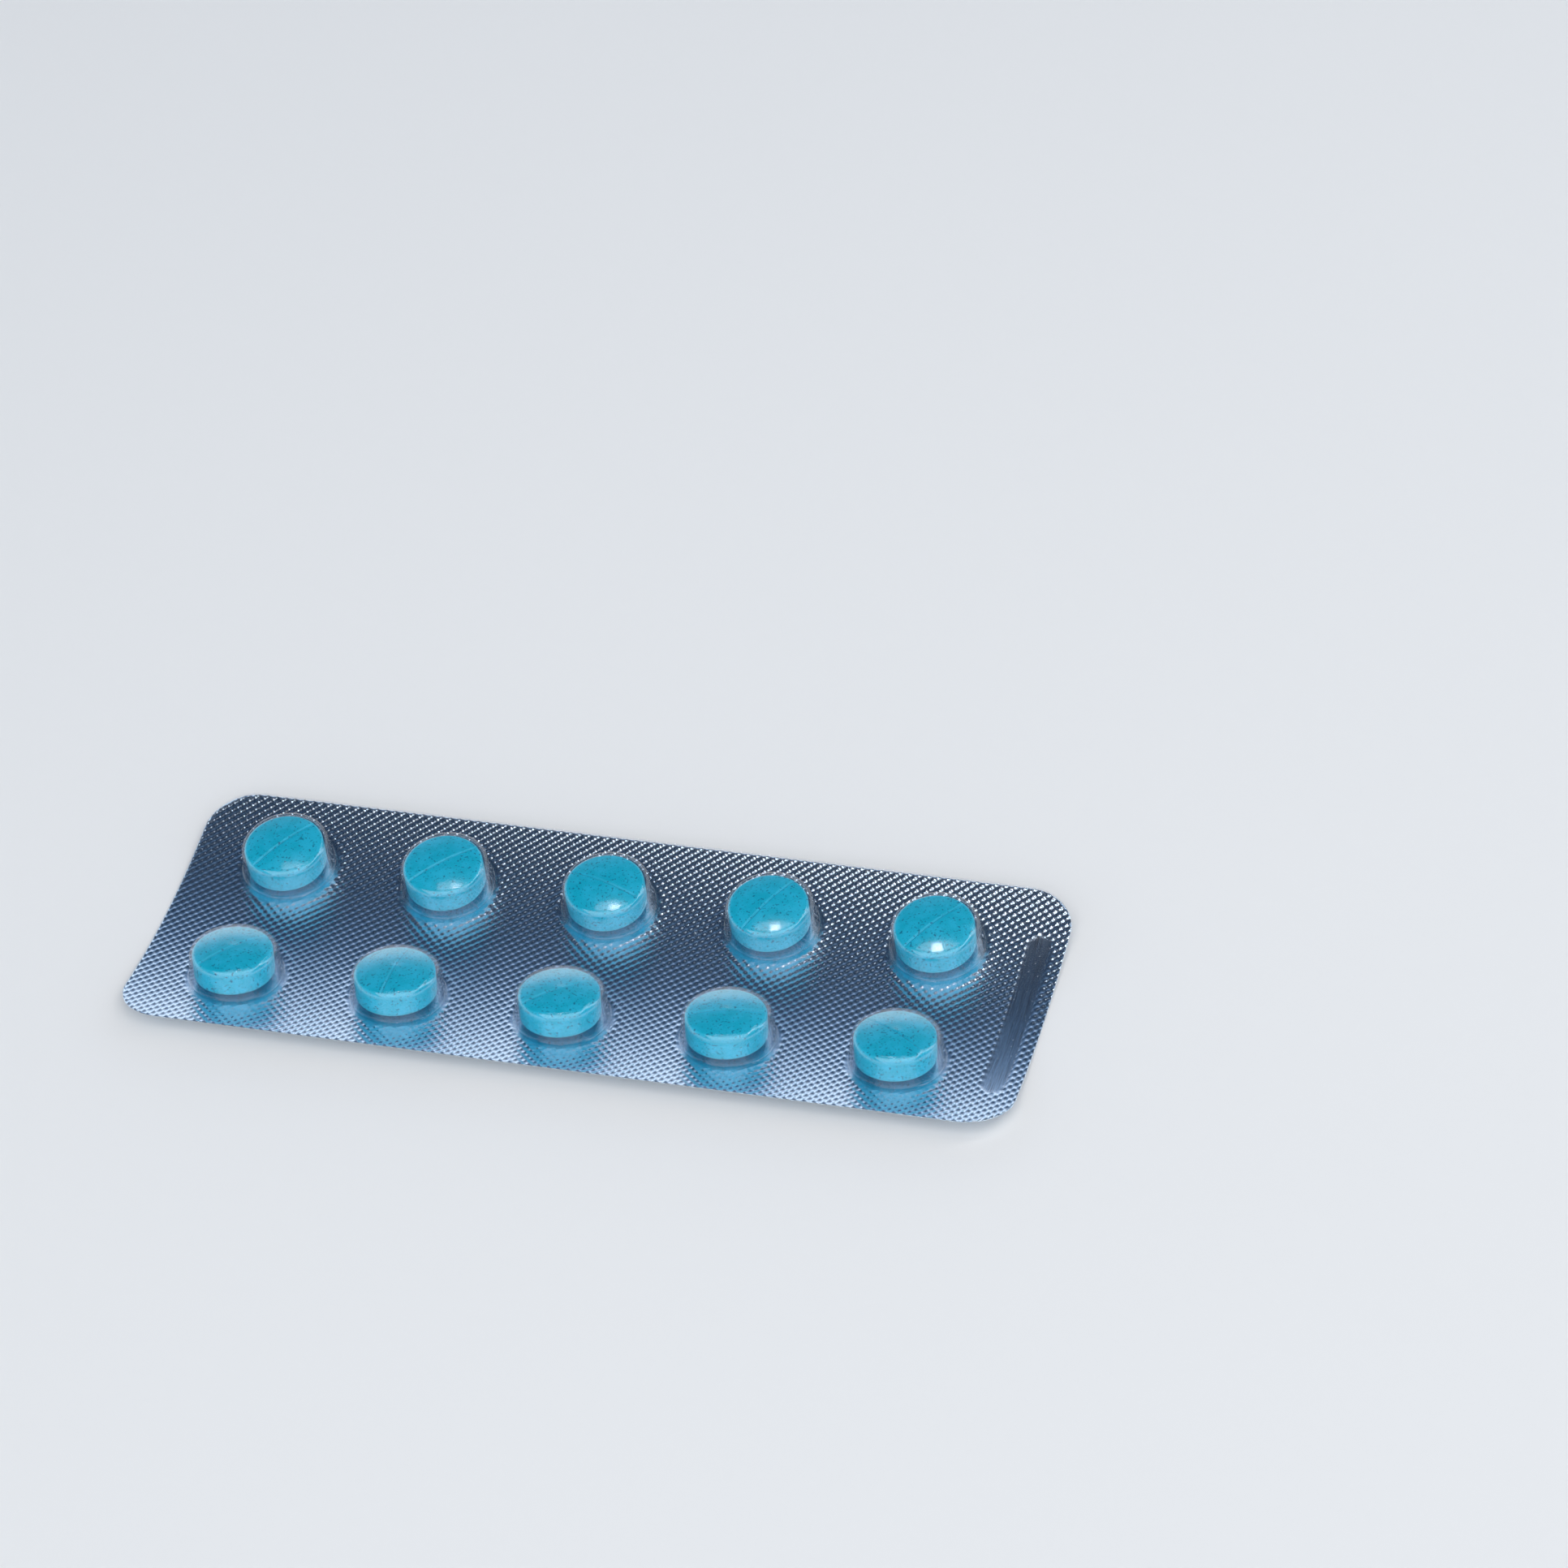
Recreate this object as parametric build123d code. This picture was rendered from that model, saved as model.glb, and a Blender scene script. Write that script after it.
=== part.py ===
from build123d import *
import os
from math import cos, degrees, radians, sin, tan

# A push-through blister pack: a clear formed film with ten pockets, ten round
# tablets, and a foil sealed to the film's underside. The whole pack is curled
# across its width, with the pockets on the hollow side.
# Millimetres and degrees. X runs along the pack, +Z is up. The origin is at the
# middle of the line on which the pack rests, at the centre of its length.

# Pocket layout and outline, measured along the sheet as if it lay flat.
COLUMNS = 5
COLUMN_PITCH = 17.0
ROW_PITCH = 16.9
LEFT_MARGIN = 10.4  # first column to the left end
RIGHT_MARGIN = 12.65  # last column to the right end, where the smooth strip is
SIDE_MARGIN = 8.7  # row to the long edge beside it
CORNER_RADIUS = 5.0
CURL_RADIUS = 76.0  # of the sealed face, about an axis along X

# Sheets.
FILM_THICKNESS = 0.25
FOIL_THICKNESS = 0.03

# Tablets. Each face is a shallow dome, joined to a straight band.
TABLET_DIAMETER = 8.1
TABLET_BAND_HEIGHT = 2.7
TABLET_FACE_RISE = 0.5
TABLET_EDGE_RADIUS = 0.35
SCORE_WIDTH = 0.36
SCORE_DEPTH = 0.12

# Each tablet lies turned as it fell: its break line's angle from +X.
SCORE_ANGLES = {
    "back": (56.0, 45.0, -17.0, 63.0, 55.0),
    "front": (50.0, 88.0, 40.0, 15.0, -30.0),
}
ROW_SIDES = {"back": 1, "front": -1}

# Pockets.
POCKET_WALL = 0.2  # the film thins as it is drawn
POCKET_DRAFT = 4.0
POCKET_ROOF_RISE = 0.6
POCKET_SHOULDER_RADIUS = 0.9  # outside
POCKET_FOOT_RADIUS = 0.3  # outside, where the wall runs into the flat film
POCKET_MOUTH_RADIUS = 0.15  # inside, where the wall leaves the foil

# Fits.
TABLET_SIDE_CLEARANCE = 0.48  # band to pocket wall at the foil, all round
TABLET_HEAD_CLEARANCE = 0.15  # top of the tablet to the roof
TABLET_SEAT_GAP = 0.03  # lowest point of the tablet to the foil
TABLET_SHIFT = 0.15  # each tablet lies a little towards the left end

# Derived sizes.
PACK_LENGTH = LEFT_MARGIN + (COLUMNS - 1) * COLUMN_PITCH + RIGHT_MARGIN
PACK_ARC_WIDTH = ROW_PITCH + 2 * SIDE_MARGIN
PACK_WIDTH = 2 * CURL_RADIUS * sin(PACK_ARC_WIDTH / 2 / CURL_RADIUS)
TABLET_RADIUS = TABLET_DIAMETER / 2
TABLET_HEIGHT = TABLET_BAND_HEIGHT + 2 * TABLET_FACE_RISE
TABLET_FACE_RADIUS = (TABLET_RADIUS**2 + TABLET_FACE_RISE**2) / (2 * TABLET_FACE_RISE)
CAVITY_RADIUS = TABLET_RADIUS + TABLET_SIDE_CLEARANCE
CAVITY_HEIGHT = TABLET_SEAT_GAP + TABLET_HEIGHT + TABLET_HEAD_CLEARANCE
CURL_AXIS_HEIGHT = FOIL_THICKNESS + CURL_RADIUS
BELOW = 1.0  # how far cutting shapes reach past the sealed face
SAME_RADIUS = 0.0025  # rings this near to a radius from the curl axis lie on it
ABOVE = CAVITY_HEIGHT + PACK_ARC_WIDTH  # taller than the curled sheet's edges


def full_cylinder(radius):
    """A solid cylinder about the curl axis, with its seam away from the pack."""
    turned = Rot(0, -90, 0) * Cylinder(radius, PACK_LENGTH + 2 * BELOW)
    return Pos(0, 0, CURL_AXIS_HEIGHT) * turned


def curled_sheet(inner_radius, outer_radius):
    """The pack's rounded outline, cut out of a tube about the curl axis."""
    outline = RectangleRounded(PACK_LENGTH, PACK_WIDTH, CORNER_RADIUS)
    block = Pos(0, 0, -BELOW) * extrude(outline, ABOVE + BELOW)
    return (block & full_cylinder(outer_radius)) - full_cylinder(inner_radius)


def seat(column, side):
    """The frame of one pocket: on the sealed face, with +Z square to the sheet."""
    angle = side * ROW_PITCH / 2 / CURL_RADIUS
    x = LEFT_MARGIN + column * COLUMN_PITCH - PACK_LENGTH / 2
    y = CURL_RADIUS * sin(angle)
    z = CURL_AXIS_HEIGHT - CURL_RADIUS * cos(angle)
    return Location((x, y, z), (degrees(angle), 0, 0))


def seats():
    """Every pocket's frame, row by row."""
    return [seat(column, side) for side in ROW_SIDES.values() for column in range(COLUMNS)]


def shallow_arc(edge_x, edge_z, centre_z):
    """The arc of a dome's half section, from its edge to its middle on the Z axis."""
    rise = centre_z - edge_z
    radius = (edge_x**2 + rise**2) / (2 * rise)
    quarter = (radius**2 - edge_x**2 / 4) ** 0.5
    middle = (edge_x / 2, centre_z - radius + (quarter if rise > 0 else -quarter))
    return ThreePointArc((edge_x, edge_z), middle, (0, centre_z))


def domed_plug(radius_at_foil, height, roof_rise, shoulder_radius):
    """A drafted round plug with a shallow dome on top, standing on the sealed face."""
    slope = tan(radians(POCKET_DRAFT))
    rim_z = height - roof_rise
    rim_x = radius_at_foil - slope * rim_z
    foot_x = radius_at_foil + slope * BELOW
    lines = Polyline((0, height), (0, -BELOW), (foot_x, -BELOW), (rim_x, rim_z))
    section = make_face(lines + shallow_arc(rim_x, rim_z, height))
    rim = section.vertices().sort_by_distance((rim_x, rim_z, 0))[0]
    return revolve(Plane.XZ * fillet(rim, shoulder_radius), Axis.Z)


def rings_at(film, radius_from_axis):
    """The edges round the pockets that lie at one distance from the curl axis."""
    found = []
    pocket_places = [Vector(s.position.X, s.position.Y, 0) for s in seats()]
    for edge in film.edges():
        middle = edge @ 0.5
        drop = CURL_AXIS_HEIGHT - middle.Z
        distance = (middle.Y**2 + drop**2) ** 0.5
        centre = edge.bounding_box().center()
        flat_centre = Vector(centre.X, centre.Y, 0)
        nearby = any((flat_centre - place).length < CAVITY_RADIUS for place in pocket_places)
        if abs(distance - radius_from_axis) < SAME_RADIUS and nearby:
            found.append(edge)
    return found


def make_forming_film():
    """The clear film: its flat web and ten drawn pockets, in one piece."""
    web_top = CURL_RADIUS - FILM_THICKNESS
    outside = domed_plug(
        CAVITY_RADIUS + POCKET_WALL,
        CAVITY_HEIGHT + POCKET_WALL,
        POCKET_ROOF_RISE,
        POCKET_SHOULDER_RADIUS,
    )
    cavity = domed_plug(
        CAVITY_RADIUS,
        CAVITY_HEIGHT,
        POCKET_ROOF_RISE,
        POCKET_SHOULDER_RADIUS - POCKET_WALL,
    )
    above_seal = full_cylinder(CURL_RADIUS)
    film = curled_sheet(web_top, CURL_RADIUS)
    film = film + [(s * outside) & above_seal for s in seats()]
    film = fillet(rings_at(film, web_top), POCKET_FOOT_RADIUS)
    film = film - [s * cavity for s in seats()]
    return fillet(rings_at(film, CURL_RADIUS), POCKET_MOUTH_RADIUS)


def make_lidding_foil():
    """The aluminium foil sealed to the film's underside."""
    return curled_sheet(CURL_RADIUS, CURL_RADIUS + FOIL_THICKNESS)


def tablet_body():
    """A round tablet standing on its lowest point, before its break line."""
    band_bottom = TABLET_FACE_RISE
    band_top = TABLET_FACE_RISE + TABLET_BAND_HEIGHT
    band = Line((TABLET_RADIUS, band_bottom), (TABLET_RADIUS, band_top))
    middle = Line((0, TABLET_HEIGHT), (0, 0))
    top = shallow_arc(TABLET_RADIUS, band_top, TABLET_HEIGHT)
    bottom = shallow_arc(TABLET_RADIUS, band_bottom, 0)
    section = make_face(band + top + middle + bottom)
    corners = [v for v in section.vertices() if v.X > TABLET_RADIUS / 2]
    return revolve(Plane.XZ * fillet(corners, TABLET_EDGE_RADIUS), Axis.Z)


def break_line():
    """A V-shaped groove of even depth that follows the top face's dome along X."""
    sphere_z = TABLET_HEIGHT - TABLET_FACE_RADIUS
    above = SCORE_DEPTH
    half_width = SCORE_WIDTH / 2 * (SCORE_DEPTH + above) / SCORE_DEPTH
    groove = Polyline(
        (-half_width, TABLET_FACE_RADIUS + above),
        (0, TABLET_FACE_RADIUS - SCORE_DEPTH),
        (half_width, TABLET_FACE_RADIUS + above),
        close=True,
    )
    sweep = degrees(2 * TABLET_DIAMETER / TABLET_FACE_RADIUS)
    start = Rot(0, -sweep / 2, 0) * (Plane.YZ * make_face(groove))
    return Pos(0, 0, sphere_z) * revolve(start, Axis.Y, sweep)


def make_tablet(column, side, angle):
    """One tablet, turned to its own angle and lying in its pocket."""
    turned = Rot(0, 0, angle) * (tablet_body() - break_line())
    return seat(column, side) * Pos(-TABLET_SHIFT, 0, TABLET_SEAT_GAP) * turned


def write(node, shape):
    """Write one sub-part as its own STEP file."""
    export_step(shape, f"parts/{node}.step")


os.makedirs("parts", exist_ok=True)
write("forming_film", make_forming_film())
write("lidding_foil", make_lidding_foil())
for row, side in ROW_SIDES.items():
    for column, angle in enumerate(SCORE_ANGLES[row]):
        write(f"tablet_{row}_{column + 1}", make_tablet(column, side, angle))
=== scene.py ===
"""Looks of a push-through blister pack: clear formed film, knurled foil and ten scored tablets.

Everything is in metres, in the part's own frame: X along the pack, Y across it, Z up out of the
pockets. Sheets are modelled lying flat and are then curled across the pack's width.
"""

import logging
import math
from dataclasses import dataclass
from enum import Enum

import bpy
import numpy as np
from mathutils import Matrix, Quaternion, Vector


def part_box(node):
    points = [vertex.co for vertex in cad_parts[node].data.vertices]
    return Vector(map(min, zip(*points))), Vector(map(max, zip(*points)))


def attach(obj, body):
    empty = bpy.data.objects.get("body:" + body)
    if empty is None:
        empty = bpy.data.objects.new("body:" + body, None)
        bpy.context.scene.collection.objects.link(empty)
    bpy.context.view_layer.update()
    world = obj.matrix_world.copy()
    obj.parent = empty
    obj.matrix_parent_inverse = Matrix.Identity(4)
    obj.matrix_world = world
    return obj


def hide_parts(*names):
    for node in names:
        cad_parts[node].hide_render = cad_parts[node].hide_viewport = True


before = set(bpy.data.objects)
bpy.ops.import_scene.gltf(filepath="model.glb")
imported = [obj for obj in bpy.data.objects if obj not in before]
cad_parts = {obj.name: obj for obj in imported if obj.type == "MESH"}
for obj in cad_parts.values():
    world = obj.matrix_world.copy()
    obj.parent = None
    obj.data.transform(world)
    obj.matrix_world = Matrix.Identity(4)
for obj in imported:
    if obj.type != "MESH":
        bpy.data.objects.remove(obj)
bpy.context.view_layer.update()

log = logging.getLogger("blister_pack")

MM = 0.001
BODY = "root"
COLUMNS = 5
TABLET_SHIFT = 0.15 * MM  # a tablet lies this much nearer the left end than its pocket's middle
KNURL_PEAK = 2.0  # how pointed the shaded knurl dots are

Colour = tuple[float, float, float, float]


class Row(Enum):
    """The two rows of pockets, with the name that their tablets carry."""

    BACK = "back"
    FRONT = "front"


class Slot(Enum):
    """The record's material slots."""

    FILM = "clear_film"
    FOIL = "foil"
    TABLET = "tablet"


# --------------------------------------------------------------------------- node helpers


@dataclass
class Graph:
    """A material's or world's node tree, with short ways to add and join nodes.

    Args:
        tree: The node tree that is built up.
    """

    tree: bpy.types.NodeTree

    def add(self, kind: str, **settings: object) -> bpy.types.Node:
        """Add one node and set its properties.

        Args:
            kind: The node's type name, such as "ShaderNodeMath".
            settings: Properties of the node and their values.

        Returns:
            The new node.
        """
        node = self.tree.nodes.new(kind)
        for name, value in settings.items():
            setattr(node, name, value)
        return node

    def join(self, value: object, socket: bpy.types.NodeSocket) -> None:
        """Link a socket, or write a plain value, into a socket.

        Args:
            value: An output socket, a number, a colour or a vector.
            socket: The input that takes it.
        """
        if isinstance(value, bpy.types.NodeSocket):
            self.tree.links.new(value, socket)
        else:
            socket.default_value = value

    def math(self, operation: str, *values: object, clamp: bool = False) -> bpy.types.NodeSocket:
        """Add a Math node.

        Args:
            operation: The operation's name, such as "MULTIPLY".
            values: Up to three inputs, as sockets or numbers.
            clamp: Whether the result is held between 0 and 1.

        Returns:
            The result's socket.
        """
        node = self.add("ShaderNodeMath", operation=operation, use_clamp=clamp)
        for index, value in enumerate(values):
            self.join(value, node.inputs[index])
        return node.outputs[0]

    def smooth(self, value: object, low: float, high: float) -> bpy.types.NodeSocket:
        """Go smoothly from 0 to 1 while a value goes from low to high.

        Args:
            value: The socket that drives the step.
            low: Where the step starts.
            high: Where the step ends.

        Returns:
            The result's socket.
        """
        node = self.add("ShaderNodeMapRange", interpolation_type="SMOOTHSTEP")
        self.join(value, node.inputs["Value"])
        node.inputs["From Min"].default_value = low
        node.inputs["From Max"].default_value = high
        return node.outputs[0]

    def noise(self, vector: object, scale: float, detail: float = 2.0) -> bpy.types.NodeSocket:
        """Add a noise texture.

        Args:
            vector: The coordinates that it reads.
            scale: Its scale, in cycles for each unit of the coordinates.
            detail: How many octaves it has.

        Returns:
            The noise value's socket.
        """
        node = self.add("ShaderNodeTexNoise")
        self.join(vector, node.inputs["Vector"])
        node.inputs["Scale"].default_value = scale
        node.inputs["Detail"].default_value = detail
        return node.outputs[0]

    def mix_colour(self, factor: object, first: object, second: object) -> bpy.types.NodeSocket:
        """Mix two colours.

        Args:
            factor: 0 for the first colour, 1 for the second.
            first: A colour or a socket.
            second: A colour or a socket.

        Returns:
            The mixed colour's socket.
        """
        node = self.add("ShaderNodeMix", data_type="RGBA")
        for value, name in ((factor, "Factor_Float"), (first, "A_Color"), (second, "B_Color")):
            socket = next(s for s in node.inputs if s.identifier == name)
            self.join(value, socket)
        return next(s for s in node.outputs if s.identifier == "Result_Color")

    def bump(self, height: object, distance: float, normal: object = None) -> bpy.types.NodeSocket:
        """Turn a height into a bent normal.

        Args:
            height: The height's socket, from 0 to 1.
            distance: The height in metres that 1 stands for.
            normal: A normal that it adds to.

        Returns:
            The bent normal's socket.
        """
        node = self.add("ShaderNodeBump")
        node.inputs["Distance"].default_value = distance
        self.join(height, node.inputs["Height"])
        if normal is not None:
            self.join(normal, node.inputs["Normal"])
        return node.outputs[0]


def new_material(name: str) -> tuple[bpy.types.Material, Graph, bpy.types.Node]:
    """Make an empty node material.

    Args:
        name: The finish's name.

    Returns:
        The material, its graph and its output node.
    """
    material = bpy.data.materials.new(name)
    material.use_nodes = True
    material.node_tree.nodes.clear()
    graph = Graph(material.node_tree)
    return material, graph, graph.add("ShaderNodeOutputMaterial")


# --------------------------------------------------------------------------- layout


@dataclass(frozen=True)
class Layout:
    """Where things lie on the flat sheet, worked out from the CAD part.

    Flat coordinates are x along the pack and s across it, measured along the sheet.

    Args:
        length: Length of the pack.
        curl_radius: Radius of the sealed face about the curl axis.
        foil_thickness: Thickness of the foil, which lies below the sealed face.
        pockets: Flat coordinates of each pocket's middle.
        arc_width: Width of the sheet, measured along it.
        corner_radius: Radius of the sheet's corners.
        smooth_radius: Radius of the smooth round place at each pocket.
        knurl_pitch: Distance from dot to dot along a row of the knurl.
        strip_from_end: From the right end to the middle of the smooth strip.
        strip_length: Length of the smooth strip, across the pack.
        strip_width: Width of the smooth strip.
    """

    length: float
    curl_radius: float
    foil_thickness: float
    pockets: tuple[tuple[float, float], ...]
    arc_width: float
    corner_radius: float = 5.0 * MM
    smooth_radius: float = 5.15 * MM
    knurl_pitch: float = 0.988 * MM
    strip_from_end: float = 2.75 * MM
    strip_length: float = 22.8 * MM
    strip_width: float = 2.4 * MM

    @property
    def axis_height(self) -> float:
        """Height of the curl axis."""
        return self.foil_thickness + self.curl_radius

    @property
    def strip_x(self) -> float:
        """Place of the smooth strip's middle line along the pack."""
        return self.length / 2 - self.strip_from_end

    @classmethod
    def from_frame(cls) -> "Layout":
        """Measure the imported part.

        Returns:
            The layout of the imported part.
        """
        low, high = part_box("lidding_foil")
        film_low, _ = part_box("forming_film")
        foil_thickness = film_low.z
        half_width = high.y
        drop = high.z - foil_thickness
        curl_radius = (half_width**2 + drop**2) / (2 * drop)
        pockets = []
        for row in Row:
            for column in range(1, COLUMNS + 1):
                tablet_low, tablet_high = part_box(f"tablet_{row.value}_{column}")
                middle = (tablet_low + tablet_high) / 2
                angle = math.atan2(middle.y, foil_thickness + curl_radius - middle.z)
                pockets.append((middle.x + TABLET_SHIFT, curl_radius * angle))
        arc_width = 2 * curl_radius * math.asin(half_width / curl_radius)
        return cls(high.x - low.x, curl_radius, foil_thickness, tuple(pockets), arc_width)

    def curl(self, flat: np.ndarray) -> np.ndarray:
        """Roll flat points onto the curled sheet.

        Args:
            flat: Points as x, s and height above the sealed face.

        Returns:
            The same points in the part's frame.
        """
        angle = flat[:, 1] / self.curl_radius
        reach = self.curl_radius - flat[:, 2]
        y = reach * np.sin(angle)
        z = self.axis_height - reach * np.cos(angle)
        return np.column_stack((flat[:, 0], y, z))


# --------------------------------------------------------------------------- mesh helpers


def select_none() -> None:
    """Deselect every object."""
    bpy.ops.object.select_all(action="DESELECT")


def make_active(obj: bpy.types.Object) -> None:
    """Select one object alone and make it active.

    Args:
        obj: The object that becomes active.
    """
    select_none()
    obj.select_set(True)
    bpy.context.view_layer.objects.active = obj


def vertex_places(obj: bpy.types.Object) -> np.ndarray:
    """Read an object's vertices as an array of points.

    Args:
        obj: The object that is read.

    Returns:
        One row of x, y and z for each vertex.
    """
    places = np.empty(len(obj.data.vertices) * 3)
    obj.data.vertices.foreach_get("co", places)
    return places.reshape(-1, 3)


def set_vertex_places(obj: bpy.types.Object, places: np.ndarray) -> None:
    """Write an array of points to an object's vertices.

    Args:
        obj: The object that is changed.
        places: One row of x, y and z for each vertex.
    """
    obj.data.vertices.foreach_set("co", places.ravel())
    obj.data.update()


def raise_vertices(obj: bpy.types.Object, chosen: np.ndarray, height: float) -> None:
    """Select some vertices in edit mode and lift them.

    Args:
        obj: The object whose vertices are lifted.
        chosen: True for each vertex that is lifted.
        height: How far they go up.
    """
    make_active(obj)
    bpy.ops.object.mode_set(mode="EDIT")
    bpy.ops.mesh.select_mode(type="VERT")
    bpy.ops.mesh.select_all(action="DESELECT")
    bpy.ops.object.mode_set(mode="OBJECT")
    obj.data.vertices.foreach_set("select", chosen)
    bpy.ops.object.mode_set(mode="EDIT")
    bpy.ops.transform.translate(value=(0, 0, height))
    bpy.ops.object.mode_set(mode="OBJECT")


def apply_modifier(obj: bpy.types.Object, kind: str, **settings: object) -> None:
    """Add a modifier, set it up and apply it.

    Args:
        obj: The object that it changes.
        kind: The modifier's type name.
        settings: Properties of the modifier and their values.
    """
    make_active(obj)
    modifier = obj.modifiers.new(kind.lower(), kind)
    for name, value in settings.items():
        setattr(modifier, name, value)
    bpy.ops.object.modifier_apply(modifier=modifier.name)


# --------------------------------------------------------------------------- finishes


def flat_coordinates(
    graph: Graph, layout: Layout
) -> tuple[bpy.types.NodeSocket, bpy.types.NodeSocket]:
    """Work out where a point of the curled sheet lies on the flat one.

    Args:
        graph: The material's graph.
        layout: The pack's layout.

    Returns:
        Sockets of x and s, in metres.
    """
    place = graph.add("ShaderNodeTexCoord").outputs["Object"]
    parts = graph.add("ShaderNodeSeparateXYZ")
    graph.join(place, parts.inputs[0])
    drop = graph.math("SUBTRACT", layout.axis_height, parts.outputs["Z"])
    angle = graph.math("ARCTAN2", parts.outputs["Y"], drop)
    return parts.outputs["X"], graph.math("MULTIPLY", angle, layout.curl_radius)


def combine(graph: Graph, x: object, y: object, z: object = 0.0) -> bpy.types.NodeSocket:
    """Join three numbers into a vector socket.

    Args:
        graph: The material's graph.
        x: The first number or socket.
        y: The second number or socket.
        z: The third number or socket.

    Returns:
        The vector's socket.
    """
    node = graph.add("ShaderNodeCombineXYZ")
    for index, value in enumerate((x, y, z)):
        graph.join(value, node.inputs[index])
    return node.outputs[0]


def length_of(graph: Graph, first: object, second: object) -> bpy.types.NodeSocket:
    """Length of a flat vector.

    Args:
        graph: The material's graph.
        first: Its first part.
        second: Its second part.

    Returns:
        The length's socket.
    """
    first_square = graph.math("MULTIPLY", first, first)
    second_square = graph.math("MULTIPLY", second, second)
    return graph.math("SQRT", graph.math("ADD", first_square, second_square))


def knurl_height(graph: Graph, layout: Layout, x: object, s: object) -> bpy.types.NodeSocket:
    """Height of the knurl's round dots, from 0 between them to 1 on top.

    Args:
        graph: The material's graph.
        layout: The pack's layout.
        x: Socket of x on the flat sheet.
        s: Socket of s on the flat sheet.

    Returns:
        The height's socket.
    """
    turn = 2 * math.pi / layout.knurl_pitch
    along = graph.math("COSINE", graph.math("MULTIPLY", x, turn))
    across = graph.math("COSINE", graph.math("MULTIPLY", s, turn))
    product = graph.math("MULTIPLY", along, across)
    half = graph.math("MULTIPLY_ADD", product, 0.5, 0.5)
    return graph.math("POWER", half, KNURL_PEAK)


def knurl_mask(graph: Graph, layout: Layout, x: object, s: object) -> bpy.types.NodeSocket:
    """1 where the sheet is knurled, 0 at the pockets and on the smooth strip.

    Args:
        graph: The material's graph.
        layout: The pack's layout.
        x: Socket of x on the flat sheet.
        s: Socket of s on the flat sheet.

    Returns:
        The mask's socket.
    """
    xs = sorted({round(p[0], 7) for p in layout.pockets})
    rows = sorted({round(p[1], 7) for p in layout.pockets})
    pitch = (xs[-1] - xs[0]) / (len(xs) - 1)
    from_first = graph.math("SUBTRACT", x, xs[0] - pitch / 2)
    near_x = graph.math("SUBTRACT", graph.math("WRAP", from_first, pitch, 0.0), pitch / 2)
    near_s = graph.math("SUBTRACT", graph.math("ABSOLUTE", s), rows[-1])
    distance = length_of(graph, near_x, near_s)
    soft = 0.1 * MM
    outside = graph.smooth(distance, layout.smooth_radius - soft, layout.smooth_radius + soft)
    first_edge = graph.math("GREATER_THAN", x, xs[0] - pitch / 2)
    last_edge = graph.math("LESS_THAN", x, xs[-1] + pitch / 2)
    in_pockets = graph.math("MULTIPLY", first_edge, last_edge)
    pocket = graph.math("MULTIPLY", graph.math("SUBTRACT", 1.0, outside), in_pockets)
    strip = strip_mask(graph, layout, x, s)
    covered = graph.math("MAXIMUM", pocket, strip)
    return graph.math("SUBTRACT", 1.0, covered)


def strip_mask(graph: Graph, layout: Layout, x: object, s: object) -> bpy.types.NodeSocket:
    """1 on the smooth strip, 0 elsewhere.

    Args:
        graph: The material's graph.
        layout: The pack's layout.
        x: Socket of x on the flat sheet.
        s: Socket of s on the flat sheet.

    Returns:
        The mask's socket.
    """
    radius = layout.strip_width / 2
    straight = layout.strip_length / 2 - radius
    beyond = graph.math("SUBTRACT", graph.math("ABSOLUTE", s), straight)
    past_end = graph.math("MAXIMUM", beyond, 0.0)
    aside = graph.math("SUBTRACT", x, layout.strip_x)
    distance = length_of(graph, past_end, aside)
    soft = 0.08 * MM
    return graph.math("SUBTRACT", 1.0, graph.smooth(distance, radius - soft, radius + soft))


@dataclass(frozen=True)
class TabletCoat:
    """A smooth coloured tablet surface with fine darker specks.

    Args:
        colour: Its main colour.
        pale_colour: The colour of its paler patches.
        speck_colour: The colour of the specks.
        roughness: How rough it is.
        mottle_scale: Noise scale of the patches.
        mottle_detail: Octaves of the patches.
        mottle_range: Noise values between which a patch fades in.
        speck_scale: Noise scale of the specks.
        speck_detail: Octaves of the specks.
        speck_range: Noise values between which a speck fades in.
        grain_scale: Noise scale of the surface's grain.
        grain_height: Height of that grain.
    """

    colour: Colour = (0.0, 0.47, 0.63, 1.0)
    pale_colour: Colour = (0.015, 0.53, 0.72, 1.0)
    speck_colour: Colour = (0.0, 0.18, 0.30, 1.0)
    roughness: float = 0.38
    mottle_scale: float = 900.0
    mottle_detail: float = 5.0
    mottle_range: tuple[float, float] = (0.36, 0.68)
    speck_scale: float = 4200.0
    speck_detail: float = 1.0
    speck_range: tuple[float, float] = (0.62, 0.69)
    grain_scale: float = 7000.0
    grain_height: float = 0.003 * MM

    def material(self) -> bpy.types.Material:
        """Build the finish's material.

        Returns:
            The material.
        """
        material, graph, output = new_material("tablet_coat")
        place = graph.add("ShaderNodeTexCoord").outputs["Object"]
        mottle = graph.noise(place, self.mottle_scale, self.mottle_detail)
        patches = graph.smooth(mottle, *self.mottle_range)
        colour = graph.mix_colour(patches, self.colour, self.pale_colour)
        speck_noise = graph.noise(place, self.speck_scale, self.speck_detail)
        specks = graph.smooth(speck_noise, *self.speck_range)
        colour = graph.mix_colour(specks, colour, self.speck_colour)
        shader = graph.add("ShaderNodeBsdfPrincipled")
        graph.join(colour, shader.inputs["Base Color"])
        shader.inputs["Roughness"].default_value = self.roughness
        grain = graph.noise(place, self.grain_scale)
        graph.join(graph.bump(grain, self.grain_height), shader.inputs["Normal"])
        graph.join(shader.outputs[0], output.inputs["Surface"])
        return material


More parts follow.
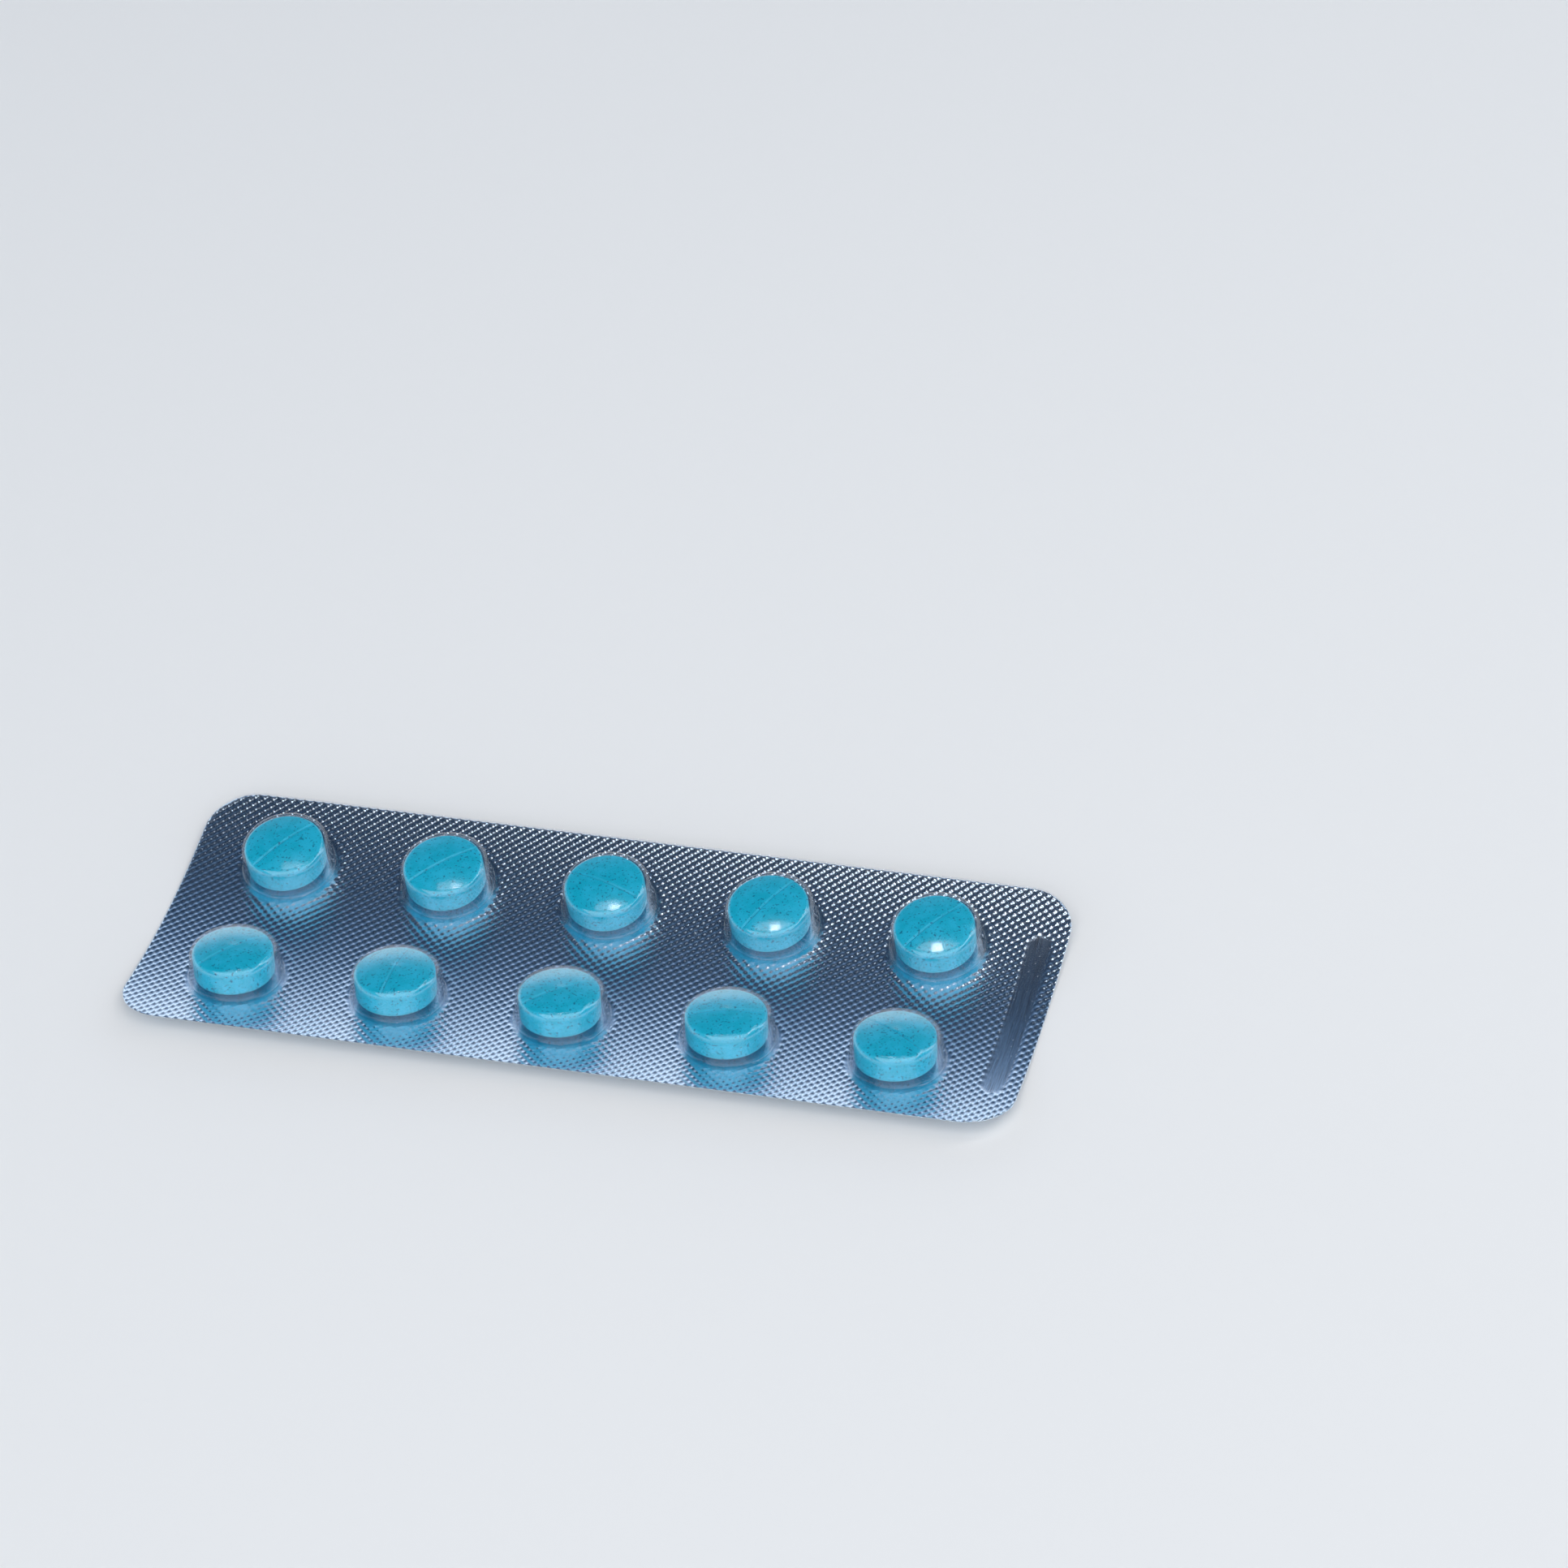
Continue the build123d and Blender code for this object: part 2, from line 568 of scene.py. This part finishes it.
@dataclass(frozen=True)
class BrightFoil:
    """Bright hard foil, with a fine grain and drawn lines on the smooth strip.

    Args:
        colour: The metal's colour.
        line_colour: The colour of the lines on the smooth strip.
        roughness: How rough it is where its grain is lowest.
        grain_roughness: How much rougher it is where its grain is highest.
        strip_roughness: How much rougher the smooth strip is.
        knurl_depth: How much the knurl's dots bend its normals, as a height.
        grain_scale: Noise scale of the grain.
        grain_height: Height of the grain.
        line_scales: Noise scales of the lines, along the pack and across it.
        line_detail: Octaves of the lines.
        line_range: Noise values between which a line fades in.
        line_height: Height of the lines.
    """

    colour: Colour = (0.67, 0.785, 0.90, 1.0)
    line_colour: Colour = (0.45, 0.49, 0.55, 1.0)
    roughness: float = 0.18
    grain_roughness: float = 0.06
    strip_roughness: float = 0.05
    knurl_depth: float = 0.028 * MM
    grain_scale: float = 5000.0
    grain_height: float = 0.002 * MM
    line_scales: tuple[float, float] = (9000.0, 220.0)
    line_detail: float = 3.0
    line_range: tuple[float, float] = (0.35, 0.75)
    line_height: float = 0.008 * MM

    def material(self, layout: Layout) -> bpy.types.Material:
        """Build the finish's material.

        Args:
            layout: The pack's layout.

        Returns:
            The material.
        """
        material, graph, output = new_material("bright_foil")
        x, s = flat_coordinates(graph, layout)
        strip = strip_mask(graph, layout, x, s)
        line_x = graph.math("MULTIPLY", x, self.line_scales[0])
        line_s = graph.math("MULTIPLY", s, self.line_scales[1])
        lines = graph.noise(combine(graph, line_x, line_s), 1.0, self.line_detail)
        grain = graph.noise(combine(graph, x, s), self.grain_scale)
        shader = graph.add("ShaderNodeBsdfPrincipled")
        shade = graph.math("MULTIPLY", strip, graph.smooth(lines, *self.line_range))
        colour = graph.mix_colour(shade, self.colour, self.line_colour)
        graph.join(colour, shader.inputs["Base Color"])
        shader.inputs["Metallic"].default_value = 1.0
        rough = graph.math("MULTIPLY_ADD", grain, self.grain_roughness, self.roughness)
        rough = graph.math("MULTIPLY_ADD", strip, self.strip_roughness, rough)
        graph.join(rough, shader.inputs["Roughness"])
        normal = graph.bump(grain, self.grain_height)
        dots = knurl_height(graph, layout, x, s)
        dots = graph.math("MULTIPLY", dots, knurl_mask(graph, layout, x, s))
        normal = graph.bump(dots, self.knurl_depth, normal)
        height = graph.math("MULTIPLY", lines, strip)
        graph.join(graph.bump(height, self.line_height, normal), shader.inputs["Normal"])
        graph.join(shader.outputs[0], output.inputs["Surface"])
        return material


@dataclass(frozen=True)
class ClearFilm:
    """Clear glossy film: see-through face on, and a mirror at a glancing angle.

    Args:
        tint: What a ray keeps of its light at each face.
        roughness: How rough the gloss is.
        face_gloss: How much a face reflects when seen square on.
        glance_blend: Blend of the node that tells how square a face is seen.
        glance_power: How fast the gloss grows towards a glancing angle.
        wobble_scale: Noise scale of the film's waviness.
        wobble_detail: Octaves of the waviness.
        wobble_height: Height of the waviness.
        knurl_depth: How much the knurl's dots bend its normals, as a height.
    """

    tint: Colour = (0.985, 0.99, 1.0, 1.0)
    roughness: float = 0.11
    face_gloss: float = 0.055
    glance_blend: float = 0.5
    glance_power: float = 5.0
    wobble_scale: float = 380.0
    wobble_detail: float = 0.0
    wobble_height: float = 0.022 * MM
    knurl_depth: float = 0.04 * MM

    def material(self, layout: Layout) -> bpy.types.Material:
        """Build the finish's material.

        Args:
            layout: The pack's layout.

        Returns:
            The material.
        """
        material, graph, output = new_material("clear_film")
        x, s = flat_coordinates(graph, layout)
        dots = knurl_height(graph, layout, x, s)
        dots = graph.math("MULTIPLY", dots, knurl_mask(graph, layout, x, s))
        place = graph.add("ShaderNodeTexCoord").outputs["Object"]
        wobble = graph.noise(place, self.wobble_scale, self.wobble_detail)
        normal = graph.bump(wobble, self.wobble_height)
        normal = graph.bump(dots, self.knurl_depth, normal)
        facing = graph.add("ShaderNodeLayerWeight")
        facing.inputs["Blend"].default_value = self.glance_blend
        graph.join(normal, facing.inputs["Normal"])
        glancing = graph.math("POWER", facing.outputs["Facing"], self.glance_power)
        rest = 1.0 - self.face_gloss
        gloss = graph.math("MULTIPLY_ADD", glancing, rest, self.face_gloss, clamp=True)
        clear = graph.add("ShaderNodeBsdfTransparent")
        clear.inputs["Color"].default_value = self.tint
        shine = graph.add("ShaderNodeBsdfGlossy")
        shine.inputs["Roughness"].default_value = self.roughness
        graph.join(normal, shine.inputs["Normal"])
        mix = graph.add("ShaderNodeMixShader")
        graph.join(gloss, mix.inputs["Fac"])
        graph.join(clear.outputs[0], mix.inputs[1])
        graph.join(shine.outputs[0], mix.inputs[2])
        graph.join(mix.outputs[0], output.inputs["Surface"])
        return material


# --------------------------------------------------------------------------- sub-assemblies


@dataclass
class LiddingFoil:
    """The foil: a thin sheet knurled all over, apart from the pockets and the smooth strip.

    Args:
        layout: The pack's layout.
        thickness: The foil's thickness.
        knurl_depth: Height of a knurl dot.
        shoulder_share: Height of a dot's flank, as a share of its top.
        sink: How far the foil's flat parts lie below the sealed face.
        bulge: How far the foil bulges below each pocket.
        rim_rise: How far the foil is drawn up round each pocket.
        rim_inner: Radius at which that rise starts.
        rim_outer: Radius at which it ends.
        samples: Grid steps to one knurl pitch.
        kept_faces: Share of the faces that the last clean-up keeps.
        least_bulge: Share of the bulge that the flattest pocket has.
        bulge_turn: Step, in radians, that makes the bulge differ from pocket to pocket.
        corner_segments: Facets of each rounded corner.
    """

    layout: Layout
    thickness: float = 0.03 * MM
    knurl_depth: float = 0.11 * MM
    shoulder_share: float = 0.28
    sink: float = 0.012 * MM
    bulge: float = 0.012 * MM
    rim_rise: float = 0.05 * MM
    rim_inner: float = 4.5 * MM
    rim_outer: float = 6.3 * MM
    samples: int = 4
    kept_faces: float = 0.93
    least_bulge: float = 0.6
    bulge_turn: float = 2.4
    corner_segments: int = 16

    def build(self) -> bpy.types.Object:
        """Model the foil flat and curl it.

        Returns:
            The finished foil.
        """
        foil = self._flat_grid()
        self._press_knurl(foil)
        self._bulge_pockets(foil)
        apply_modifier(foil, "SOLIDIFY", thickness=self.thickness, offset=-1.0)
        self._cut_outline(foil)
        flat = vertex_places(foil)
        hidden = self._below_pockets(flat)
        set_vertex_places(foil, self.layout.curl(flat))
        group = foil.vertex_groups.new(name="below_pockets")
        group.add([int(index) for index in np.flatnonzero(hidden)], 1.0, "REPLACE")
        apply_modifier(foil, "DECIMATE", ratio=self.kept_faces, vertex_group=group.name)
        foil.vertex_groups.clear()
        foil.data.shade_smooth()
        return foil

    def _flat_grid(self) -> bpy.types.Object:
        """Add a flat grid a little larger than the sheet, whose points hit every knurl dot.

        Returns:
            The grid.
        """
        step = self.layout.knurl_pitch / self.samples
        columns = 2 * math.ceil(self.layout.length / 2 / step + 1)
        rows = 2 * math.ceil(self.layout.arc_width / 2 / step + 1)
        select_none()
        bpy.ops.mesh.primitive_grid_add(x_subdivisions=columns, y_subdivisions=rows, size=1.0)
        foil = bpy.context.active_object
        foil.name = "knurled_foil"
        foil.scale = (columns * step, rows * step, 1.0)
        bpy.ops.object.transform_apply(location=False, rotation=False, scale=True)
        return foil

    def _knurled(self, places: np.ndarray) -> np.ndarray:
        """Tell which points lie where the sheet is knurled.

        Args:
            places: Points on the flat sheet.

        Returns:
            True for each point that is knurled.
        """
        layout = self.layout
        knurled = np.ones(len(places), dtype=bool)
        for x, s in layout.pockets:
            knurled &= np.hypot(places[:, 0] - x, places[:, 1] - s) > layout.smooth_radius
        radius = layout.strip_width / 2
        past_end = np.maximum(np.abs(places[:, 1]) - layout.strip_length / 2 + radius, 0)
        knurled &= np.hypot(places[:, 0] - layout.strip_x, past_end) > radius
        return knurled

    def _press_knurl(self, foil: bpy.types.Object) -> None:
        """Lift the top and the flanks of every knurl dot.

        Args:
            foil: The flat grid.
        """
        places = vertex_places(foil)
        step = self.layout.knurl_pitch / self.samples
        column = np.rint(places[:, 0] / step).astype(int)
        row = np.rint(places[:, 1] / step).astype(int)
        half = self.samples // 2
        knurled = self._knurled(places)
        on_corner = (column % self.samples == 0) & (row % self.samples == 0)
        on_middle = (column % self.samples == half) & (row % self.samples == half)
        top = on_corner | on_middle
        valley = (column % self.samples == half) & (row % self.samples == 0)
        valley |= (column % self.samples == 0) & (row % self.samples == half)
        raise_vertices(foil, top & knurled, self.knurl_depth)
        flank = ~top & ~valley & knurled
        raise_vertices(foil, flank, self.knurl_depth * self.shoulder_share)

    def _below_pockets(self, places: np.ndarray) -> np.ndarray:
        """Tell which points lie on the underside, in the smooth round places.

        Args:
            places: Points of the flat foil.

        Returns:
            True for each such point.
        """
        near = np.zeros(len(places), dtype=bool)
        for x, s in self.layout.pockets:
            near |= np.hypot(places[:, 0] - x, places[:, 1] - s) < self.rim_inner
        return near & (places[:, 2] < -self.sink - self.thickness / 2)

    def _bulge_pockets(self, foil: bpy.types.Object) -> None:
        """Sink the foil a hair, bulge it below each pocket and draw up a rim round it.

        Args:
            foil: The knurled grid.
        """
        places = vertex_places(foil)
        places[:, 2] -= self.sink
        reach = self.layout.smooth_radius
        for number, (x, s) in enumerate(self.layout.pockets):
            distance = np.hypot(places[:, 0] - x, places[:, 1] - s) / reach
            swing = math.cos(self.bulge_turn * number)
            share = self.least_bulge + (1 - self.least_bulge) * swing
            inside = np.clip(1 - distance**2, 0, None) ** 2
            places[:, 2] -= self.bulge * share * inside
            inner, outer = self.rim_inner / reach, self.rim_outer / reach
            climb = np.clip((distance - inner) / (1 - inner), 0, 1)
            fall = np.clip((outer - distance) / (outer - 1), 0, 1)
            ease = climb * fall
            places[:, 2] += self.rim_rise * ease * ease * (3 - 2 * ease)
        set_vertex_places(foil, places)

    def _cut_outline(self, foil: bpy.types.Object) -> None:
        """Cut the sheet to its rounded outline with a block.

        Args:
            foil: The flat foil, with its thickness.
        """
        layout = self.layout
        select_none()
        bpy.ops.mesh.primitive_cube_add(size=1.0)
        cutter = bpy.context.active_object
        cutter.scale = (layout.length, layout.arc_width, 2 * MM)
        bpy.ops.object.transform_apply(location=False, rotation=False, scale=True)
        heights = vertex_places(cutter)[:, 2]
        ends = [tuple(edge.vertices) for edge in cutter.data.edges]
        upright = [abs(heights[first] - heights[second]) > MM for first, second in ends]
        bpy.ops.object.mode_set(mode="EDIT")
        bpy.ops.mesh.select_mode(type="EDGE")
        bpy.ops.mesh.select_all(action="DESELECT")
        bpy.ops.object.mode_set(mode="OBJECT")
        cutter.data.edges.foreach_set("select", upright)
        bpy.ops.object.mode_set(mode="EDIT")
        bpy.ops.mesh.bevel(offset=layout.corner_radius, segments=self.corner_segments, affect="EDGES")
        bpy.ops.object.mode_set(mode="OBJECT")
        settings = {"operation": "INTERSECT", "object": cutter, "solver": "MANIFOLD"}
        apply_modifier(foil, "BOOLEAN", **settings)
        bpy.data.objects.remove(cutter)

    def dress(self, foil: bpy.types.Object, finish: BrightFoil) -> None:
        """Give the foil its finish and its place in the part.

        Args:
            foil: The finished foil.
            finish: The foil's finish.
        """
        foil.data.materials.clear()
        foil.data.materials.append(finish.material(self.layout))
        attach(foil, BODY)
        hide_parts("lidding_foil")


@dataclass
class FormingFilm:
    """The clear formed film with its ten pockets, as it comes from the CAD part.

    Args:
        layout: The pack's layout.
    """

    layout: Layout

    def dress(self, finish: ClearFilm) -> None:
        """Give the film its finish.

        Args:
            finish: The film's finish.
        """
        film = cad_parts["forming_film"]
        film.data.materials.clear()
        film.data.materials.append(finish.material(self.layout))


@dataclass
class Tablets:
    """The ten tablets, as they come from the CAD part.

    Args:
        names: The tablets' names.
    """

    names: tuple[str, ...] = tuple(
        f"tablet_{row.value}_{n}" for row in Row for n in range(1, COLUMNS + 1)
    )

    def dress(self, finish: TabletCoat) -> None:
        """Give the tablets their finish.

        Args:
            finish: The tablets' finish.
        """
        material = finish.material()
        for name in self.names:
            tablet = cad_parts[name]
            tablet.data.materials.clear()
            tablet.data.materials.append(material)


# --------------------------------------------------------------------------- studio


@dataclass(frozen=True)
class Lamp:
    """A soft oblong lamp that points at the pack.

    Args:
        name: The lamp's name.
        place: Where it hangs, in metres.
        sides: Lengths of its sides, in metres.
        power: Its power in watts.
    """

    name: str
    place: tuple[float, float, float]
    sides: tuple[float, float]
    power: float

    def hang(self) -> None:
        """Add the lamp to the scene."""
        data = bpy.data.lights.new(self.name, "AREA")
        data.shape = "RECTANGLE"
        data.size, data.size_y = self.sides
        data.energy = self.power
        lamp = bpy.data.objects.new(self.name, data)
        lamp.location = self.place
        lamp.rotation_mode = "QUATERNION"
        lamp.rotation_quaternion = (-Vector(self.place)).to_track_quat("-Z", "Y")
        bpy.context.scene.collection.objects.link(lamp)


LAMPS = (
    Lamp("key_lamp", (-0.056, 0.171, 0.78), (0.08, 0.05), 0.15),
    Lamp("key_halo", (-0.045, 0.160, 0.80), (0.36, 0.15), 0.26),
    Lamp("strip_lamp", (0.36, 0.26, 0.70), (0.70, 0.06), 0.35),
    Lamp("fill_lamp", (0.190, -0.640, 0.940), (1.95, 1.30), 12.6),
    Lamp("side_lamp", (0.55, 0.45, 0.60), (0.25, 0.55), 0.9),
)

# The room's colour by the height of the direction looked in: 0 is level, 1 is straight up.
ROOM_SHADES = (
    (0.0, (0.86, 0.91, 0.96, 1.0)),
    (0.26, (0.84, 0.90, 0.96, 1.0)),
    (0.33, (0.52, 0.60, 0.74, 1.0)),
    (0.42, (0.20, 0.285, 0.41, 1.0)),
    (0.52, (0.070, 0.120, 0.195, 1.0)),
    (0.66, (0.016, 0.038, 0.072, 1.0)),
    (0.80, (0.006, 0.015, 0.032, 1.0)),
    (1.0, (0.005, 0.012, 0.026, 1.0)),
)


@dataclass(frozen=True)
class Studio:
    """The floor, the light and the camera.

    Args:
        aim: The point of the floor in the middle of the picture.
        azimuth: How far the camera stands round towards the right end, in degrees.
        elevation: How high the camera looks down from, in degrees.
        roll: How far the camera leans clockwise, in degrees.
        distance: From the camera to its aim.
        lens: Focal length in millimetres on a 36 mm sensor.
        nearest: The nearest distance that the camera sees.
        floor_colour: The floor's colour.
        floor_roughness: How rough the floor is.
        floor_size: Length of the floor's sides.
        floor_drop: How far the floor lies below the part's origin.
        room_strength: How bright the room's colours shine.
        clear_layers: How many clear faces a ray may pass.
    """

    aim: tuple[float, float, float] = (11.289 * MM, 30.401 * MM, 0.0)
    azimuth: float = 17.904
    elevation: float = 40.325
    roll: float = 5.046
    distance: float = 588.99 * MM
    lens: float = 131.407
    nearest: float = 0.01
    floor_colour: Colour = (0.90, 0.885, 0.86, 1.0)
    floor_roughness: float = 0.8
    floor_size: float = 4.0
    floor_drop: float = 0.06 * MM
    room_strength: float = 1.6
    clear_layers: int = 24

    def add_camera(self) -> None:
        """Add the camera and make it the scene's own."""
        data = bpy.data.cameras.new("view_camera")
        data.lens = self.lens
        data.clip_start = self.nearest
        camera = bpy.data.objects.new("view_camera", data)
        bpy.context.scene.collection.objects.link(camera)
        turn, rise = math.radians(self.azimuth), math.radians(self.elevation)
        level = math.cos(rise)
        back = Vector((math.sin(turn) * level, -math.cos(turn) * level, math.sin(rise)))
        camera.location = Vector(self.aim) + back * self.distance
        camera.rotation_mode = "QUATERNION"
        lean = Quaternion((0, 0, 1), -math.radians(self.roll))
        camera.rotation_quaternion = (-back).to_track_quat("-Z", "Y") @ lean
        bpy.context.scene.camera = camera

    def add_floor(self) -> None:
        """Add the plain pale floor."""
        select_none()
        bpy.ops.mesh.primitive_plane_add(size=self.floor_size, location=(0, 0, -self.floor_drop))
        floor = bpy.context.active_object
        floor.name = "studio_floor"
        material, graph, output = new_material("pale_floor")
        shader = graph.add("ShaderNodeBsdfPrincipled")
        shader.inputs["Base Color"].default_value = self.floor_colour
        shader.inputs["Roughness"].default_value = self.floor_roughness
        graph.join(shader.outputs[0], output.inputs["Surface"])
        floor.data.materials.append(material)

    def add_world(self) -> None:
        """Add the surroundings: pale round the horizon and dim overhead."""
        world = bpy.data.worlds.new("studio_room")
        bpy.context.scene.world = world
        world.use_nodes = True
        world.node_tree.nodes.clear()
        graph = Graph(world.node_tree)
        place = graph.add("ShaderNodeTexCoord").outputs["Generated"]
        parts = graph.add("ShaderNodeSeparateXYZ")
        graph.join(place, parts.inputs[0])
        ramp = graph.add("ShaderNodeValToRGB")
        graph.join(parts.outputs["Z"], ramp.inputs[0])
        elements = ramp.color_ramp.elements
        for index, (position, colour) in enumerate(ROOM_SHADES):
            element = elements[index] if index < 2 else elements.new(position)
            element.position = position
            element.color = colour
        background = graph.add("ShaderNodeBackground")
        graph.join(ramp.outputs[0], background.inputs["Color"])
        background.inputs["Strength"].default_value = self.room_strength
        output = graph.add("ShaderNodeOutputWorld")
        graph.join(background.outputs[0], output.inputs["Surface"])

    def set_up(self) -> None:
        """Build the whole studio."""
        scene = bpy.context.scene
        scene.view_settings.view_transform = "Standard"
        scene.cycles.transparent_max_bounces = self.clear_layers
        self.add_world()
        self.add_floor()
        for lamp in LAMPS:
            lamp.hang()
        self.add_camera()


def main() -> None:
    """Build the pack's pieces in order, then the studio."""
    logging.basicConfig(level=logging.INFO, format="%(name)s: %(message)s")
    layout = Layout.from_frame()
    curl_radius, flat_width = layout.curl_radius / MM, layout.arc_width / MM
    log.info("curl radius %.2f mm, flat width %.2f mm", curl_radius, flat_width)
    foil_maker = LiddingFoil(layout)
    foil = foil_maker.build()
    foil_maker.dress(foil, BrightFoil())
    foil.data.calc_loop_triangles()
    log.info("%s: %d triangles", foil.name, len(foil.data.loop_triangles))
    FormingFilm(layout).dress(ClearFilm())
    log.info("film dressed")
    Tablets().dress(TabletCoat())
    log.info("tablets dressed")
    Studio().set_up()
    log.info("studio ready")


if __name__ == "__main__":
    main()
